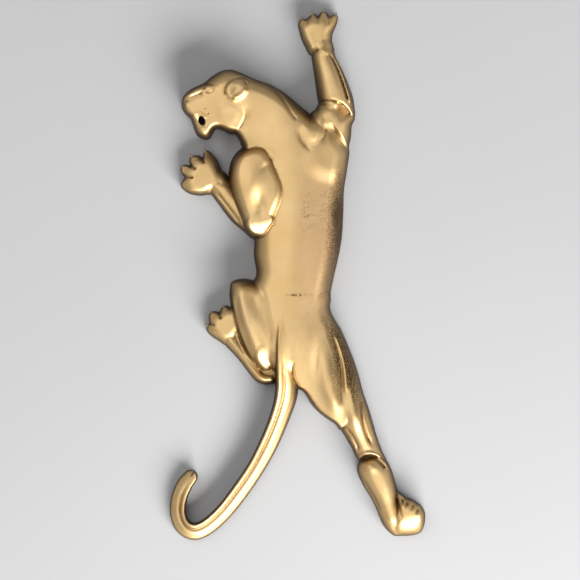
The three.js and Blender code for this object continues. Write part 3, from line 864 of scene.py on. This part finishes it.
def gold_plate():
    """Satin gold plate over a cast and hand-polished surface. Shade is painted into its colour: the steep
    side walls and the creases are painted brown, the right flank is painted darker, with speckles that also
    make it look stained, and the right of the back is painted a pinkish shade. The right of the back also
    has scratches and pits."""
    m = Nodes("gold_plate")
    grain = m.noise(2600, detail=3)
    gold = m.ramp(m.noise(90), (0.3, linear(230, 193, 134)), (0.7, linear(238, 205, 150)))
    # painted shade: the right of the back is painted pinkish, the tone it takes facing away from the broad
    # light
    pink_side_shade = m.math("MULTIPLY", m.oval((8, 5), (10, 32)), 0.6)
    gold = m.mix(pink_side_shade, gold, (*linear(206, 166, 128), 1))
    normal = m.node("ShaderNodeTexCoord").outputs["Normal"]
    facing = m.node("ShaderNodeSeparateXYZ", Vector=normal)
    # painted shade: steep walls, found by how little their normal points up, are painted brown
    wall = m.ramp(facing.outputs["Z"], (0.2, 1.0), (0.76, 0.0))
    speckle = m.ramp(m.noise(2400), (0.35, 0.5), (0.6, 1.0))
    # painted shade: surfaces that face +X, and a band along the right edge, are darkened; the speckles make
    # it look stained as well
    right_facing_shade = m.math("MULTIPLY", m.ramp(facing.outputs["X"], (0.05, 0.0), (0.4, 1.0)), m.oval((18, -8),
                                                                                            (13, 60)))
    edge = m.math("MAXIMUM", m.oval((15, 8), (6, 36)), m.oval((14.2, 15), (5, 14)))
    flank_shade_and_stain = m.ramp(m.math("MULTIPLY", m.math("MAXIMUM", right_facing_shade, edge), speckle), (0.15, 0.0), (0.6, 1.0))
    # painted shade on the walls and the right flank, where the flank's speckles also read as a stain
    painted_shade_and_stain = m.math("MAXIMUM", wall, flank_shade_and_stain)
    gold_with_painted_shade = m.mix(painted_shade_and_stain, gold, (*linear(84, 60, 34), 1))
    # painted shade: creases, found by pointiness, are painted dark brown
    hollow = m.ramp(m.node("ShaderNodeNewGeometry").outputs["Pointiness"], (0.44, 1.0), (0.495, 0.0))
    tone = m.mix(hollow, gold_with_painted_shade, (*linear(96, 66, 30), 1))
    hairline = m.ramp(m.noise(260, detail=6, roughness=0.7), (0.485, 0.0), (0.5, 1.0), (0.515, 0.0))
    pits = m.ramp(m.noise(900, detail=2), (0.66, 0.0), (0.72, 1.0))
    marked = m.math("ADD", m.oval((4, 15), (3, 9)), m.oval((10, 17), (4, 9)))
    marks = m.math("MULTIPLY", m.math("ADD", hairline, pits), m.math("MULTIPLY", marked, 0.9))
    scratch = m.math("MULTIPLY", m.oval((1, -9.3), (5, 0.6)), m.ramp(m.noise(700), (0.42, 0.0),
                                                                     (0.55, 1.0)))
    marks = m.math("MAXIMUM", marks, scratch)
    tone = m.mix(marks, tone, (*linear(110, 70, 40), 1))
    rough = m.ramp(grain, (0.35, 0.46), (0.65, 0.56))
    m.set(Base_Color=tone, Metallic=1.0, Roughness=rough, Normal=m.bump(grain, 0.3))
    return m.material


def steel(name, colour, roughness):
    """Plated steel with fine turning marks."""
    m = Nodes(name)
    marks = m.noise(2500, detail=2)
    tone = m.ramp(m.noise(400), (0.3, tuple(0.8 * c for c in colour)), (0.7, colour))
    rough = m.math("MULTIPLY_ADD", marks, UNEVEN_ROUGHNESS, roughness)
    m.set(Base_Color=tone, Metallic=1.0, Roughness=rough, Normal=m.bump(marks, 0.1))
    return m.material


def rubber():
    m = Nodes("seal_rubber")
    grain = m.noise(3000, detail=3)
    tone = m.ramp(grain, (0.3, (0.012, 0.012, 0.012)), (0.7, (0.03, 0.03, 0.03)))
    m.set(Base_Color=tone, Roughness=0.65, Normal=m.bump(grain, 0.2))
    return m.material


def dress(thing, material):
    thing.data.materials.clear()
    thing.data.materials.append(material)


# ---- the object ----

figure = casting()
dress(figure, gold_plate())
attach(figure, "root")
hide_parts("figure_casting")

finishes = {"stud": steel("zinc_steel", linear(196, 200, 206), 0.3), "seal": rubber(),
            "lock": steel("spring_steel", linear(120, 120, 122), 0.35)}
finishes["flat"] = finishes["hex"] = finishes["stud"]
for name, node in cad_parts.items():
    if name != "figure_casting":
        dress(node, finishes[name.split("_")[0]])

# ---- floor, lights and camera ----

FLOOR_SIZE = 4.0
CAMERA_DISTANCE = 1.6
FIELD = 0.1805  # width of the view at the back plane, in metres
VIEW_CENTRE = Vector((-1.6 * MM, -7.8 * MM, 0))


def floor():
    m = Nodes("floor")
    tone = m.ramp(m.noise(3), (0.3, (0.46, 0.46, 0.46)), (0.7, (0.5, 0.5, 0.5)))
    m.set(Base_Color=tone, Roughness=0.9)
    half = FLOOR_SIZE / 2 / MM
    made = mesh_object("floor", [(-half, -half, 0), (half, -half, 0), (half, half, 0), (-half, half, 0)],
                       np.array([[0, 1, 2, 3]]))
    dress(made, m.material)


def lamp(name, towards, distance, width, height, power):
    """A soft lamp that shines on the figure from a direction."""
    light = bpy.data.lights.new(name, "AREA")
    light.shape = "RECTANGLE"
    light.size, light.size_y = width, height
    light.energy = power
    made = bpy.data.objects.new(name, light)
    direction = Vector(towards).normalized()
    made.location = VIEW_CENTRE + direction * distance
    made.rotation_euler = direction.to_track_quat("Z", "Y").to_euler()
    bpy.context.scene.collection.objects.link(made)


def camera():
    data = bpy.data.cameras.new("camera")
    data.lens = data.sensor_width * CAMERA_DISTANCE / FIELD
    data.clip_start = 0.01
    made = bpy.data.objects.new("camera", data)
    made.location = VIEW_CENTRE + Vector((0, 0, CAMERA_DISTANCE))
    bpy.context.scene.collection.objects.link(made)
    bpy.context.scene.camera = made


def surroundings(brightness):
    world = bpy.data.worlds.new("studio")
    world.use_nodes = True
    background = world.node_tree.nodes["Background"]
    background.inputs["Color"].default_value = (0.95, 0.97, 1, 1)
    background.inputs["Strength"].default_value = brightness
    bpy.context.scene.world = world


floor()
lamp("window", (0.5, -0.87, 0.5), 1.0, 0.9, 0.4, 24)
lamp("ceiling", (-0.55, 0.35, 1), 1.5, 1.6, 1.6, 9.5)
camera()
surroundings(0.22)
bpy.context.scene.view_settings.view_transform = "Standard"
